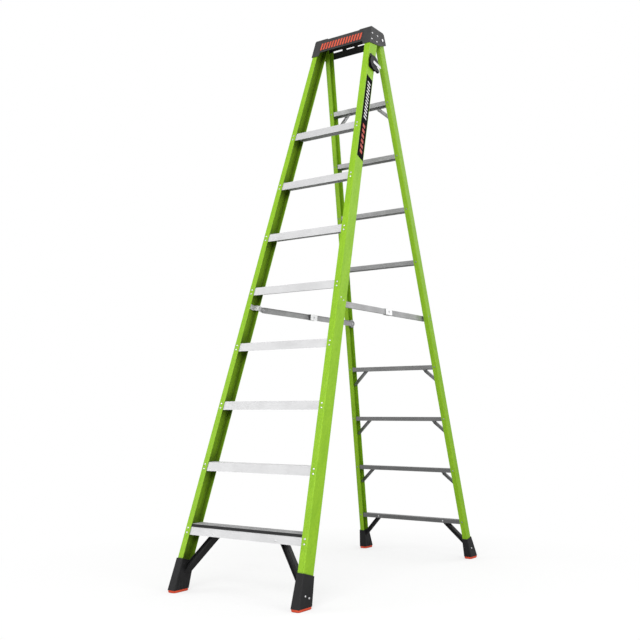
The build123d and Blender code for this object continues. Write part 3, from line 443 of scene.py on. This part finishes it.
def guard_mark(name, side, face):
    """A small diamond printed on one face of a hinge guard: face 1 is outward, -1 is inward."""
    low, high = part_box(f"spreader_hinge_guard_{name}")
    out = Vector((side, 0, FRONT_TAPER)).normalized() * face
    centre = (low + high) / 2 + out * GUARD_HALF_DEPTH
    up = Vector((-side * FRONT_TAPER, 0, 1)).normalized() * GUARD_MARK_HALF_HEIGHT
    along = Vector((0, GUARD_MARK_HALF_WIDTH, 0))
    outline = [centre - along, centre - up, centre + along, centre + up]
    mark = f"guard_mark_{name}_{'outer' if face == 1 else 'inner'}"
    prism(mark, outline, out, INK, GUARD_GREY, f"spreader_front_{name}")


for side, tag in SIDES:
    label_bars(f"label_red_bar_{tag}", side, LABEL_RED, **RED_BARS)
    label_bars(f"label_pale_bar_{tag}", side, LABEL_WHITE, **PALE_BARS)
badge_bars()
for side, tag in SIDES:
    for face in (1, -1):
        guard_mark(tag, side, face)


# ---------------------------------------------------------------- stage

FLOOR_REACH = 60.0
FADE_START = 0.9               # metres from the object's middle where the floor begins to fade out
FADE_END = 2.0
FLOOR_BOUNCE = (0.42, 0.42, 0.42, 1)
WHITE = (1, 1, 1, 1)
CAMERA_PLACE = (2.7250, -4.1081, 0.8646)
CAMERA_YAW = 0.607
CAMERA_PITCH = 0.1037


def shown_and_cast(tree, shown, cast, output):
    """Give the camera one shader, and every other ray another."""
    ray = tree.nodes.new("ShaderNodeLightPath")
    choice = tree.nodes.new("ShaderNodeMixShader")
    tree.links.new(ray.outputs["Is Camera Ray"], choice.inputs[0])
    tree.links.new(cast.outputs[0], choice.inputs[1])
    tree.links.new(shown.outputs[0], choice.inputs[2])
    tree.links.new(choice.outputs[0], output.inputs["Surface"])


def floor():
    """A wide pale floor. It fades into the backdrop, and reflects less than it shows."""
    mesh = bpy.data.meshes.new("floor")
    corners = [(-FLOOR_REACH, -FLOOR_REACH, 0), (FLOOR_REACH, -FLOOR_REACH, 0)]
    corners += [(FLOOR_REACH, FLOOR_REACH, 0), (-FLOOR_REACH, FLOOR_REACH, 0)]
    mesh.from_pydata(corners, [], [(0, 1, 2, 3)])
    piece = bpy.data.objects.new("floor", mesh)
    bpy.context.scene.collection.objects.link(piece)
    finish = Finish("floor_paper", Roughness=0.9)
    speckle = finish.noise((40, 40, 40))
    finish.colour(finish.mix(speckle, linear(244, 244, 244), linear(248, 248, 248)))
    tree = finish.tree
    output = next(node for node in tree.nodes if node.type == "OUTPUT_MATERIAL")
    glow = tree.nodes.new("ShaderNodeEmission")
    dim = tree.nodes.new("ShaderNodeBsdfDiffuse")
    dim.inputs["Color"].default_value = FLOOR_BOUNCE
    distance = tree.nodes.new("ShaderNodeVectorMath")
    distance.operation = "LENGTH"
    tree.links.new(finish.place, distance.inputs[0])
    fade = finish.spread(distance.outputs["Value"], 0.62, 1.0, FADE_START, FADE_END)
    faded = tree.nodes.new("ShaderNodeMixShader")
    tree.links.new(fade, faded.inputs[0])
    tree.links.new(finish.shader.outputs[0], faded.inputs[1])
    tree.links.new(glow.outputs[0], faded.inputs[2])
    shown_and_cast(tree, faded, dim, output)
    mesh.materials.append(finish.material)


def backdrop(light):
    """A white backdrop, which lights the object a little less brightly than it looks."""
    world = bpy.data.worlds.new("studio")
    bpy.context.scene.world = world
    world.use_nodes = True
    tree = world.node_tree
    tree.nodes.clear()
    output = tree.nodes.new("ShaderNodeOutputWorld")
    shown = tree.nodes.new("ShaderNodeBackground")
    shown.inputs["Color"].default_value = WHITE
    cast = tree.nodes.new("ShaderNodeBackground")
    cast.inputs["Color"].default_value = WHITE
    cast.inputs["Strength"].default_value = light
    shown_and_cast(tree, shown, cast, output)


def softbox(name, place, aim, size, power):
    """A square lamp, size metres wide, that faces a point."""
    lamp = bpy.data.lights.new(name, "AREA")
    lamp.shape = "SQUARE"
    lamp.size = size
    lamp.energy = power
    holder = bpy.data.objects.new(name, lamp)
    holder.location = place
    holder.rotation_mode = "QUATERNION"
    holder.rotation_quaternion = (Vector(aim) - Vector(place)).to_track_quat("-Z", "Y")
    bpy.context.scene.collection.objects.link(holder)


def camera():
    """The camera stands before the right-hand front leg and looks a little upwards."""
    data = bpy.data.cameras.new("camera")
    data.lens = 50
    data.sensor_width = 36
    data.clip_end = 200
    holder = bpy.data.objects.new("camera", data)
    holder.location = CAMERA_PLACE
    holder.rotation_euler = Euler((math.pi / 2 + CAMERA_PITCH, 0, CAMERA_YAW))
    bpy.context.scene.collection.objects.link(holder)
    bpy.context.scene.camera = holder


floor()
backdrop(0.68)
softbox("key", (2.2, -6.0, 4.2), (0, 0, 1.4), 3.5, 230)
softbox("side", (6.5, -0.8, 2.6), (0, 0, 1.4), 4.0, 150)
softbox("fill", (-5.0, -4.5, 3.0), (0, 0, 1.4), 4.0, 90)
softbox("back", (2.5, 6.0, 4.5), (0, 0.3, 1.6), 4.0, 70)
camera()
scene = bpy.context.scene
scene.view_settings.view_transform = "Standard"
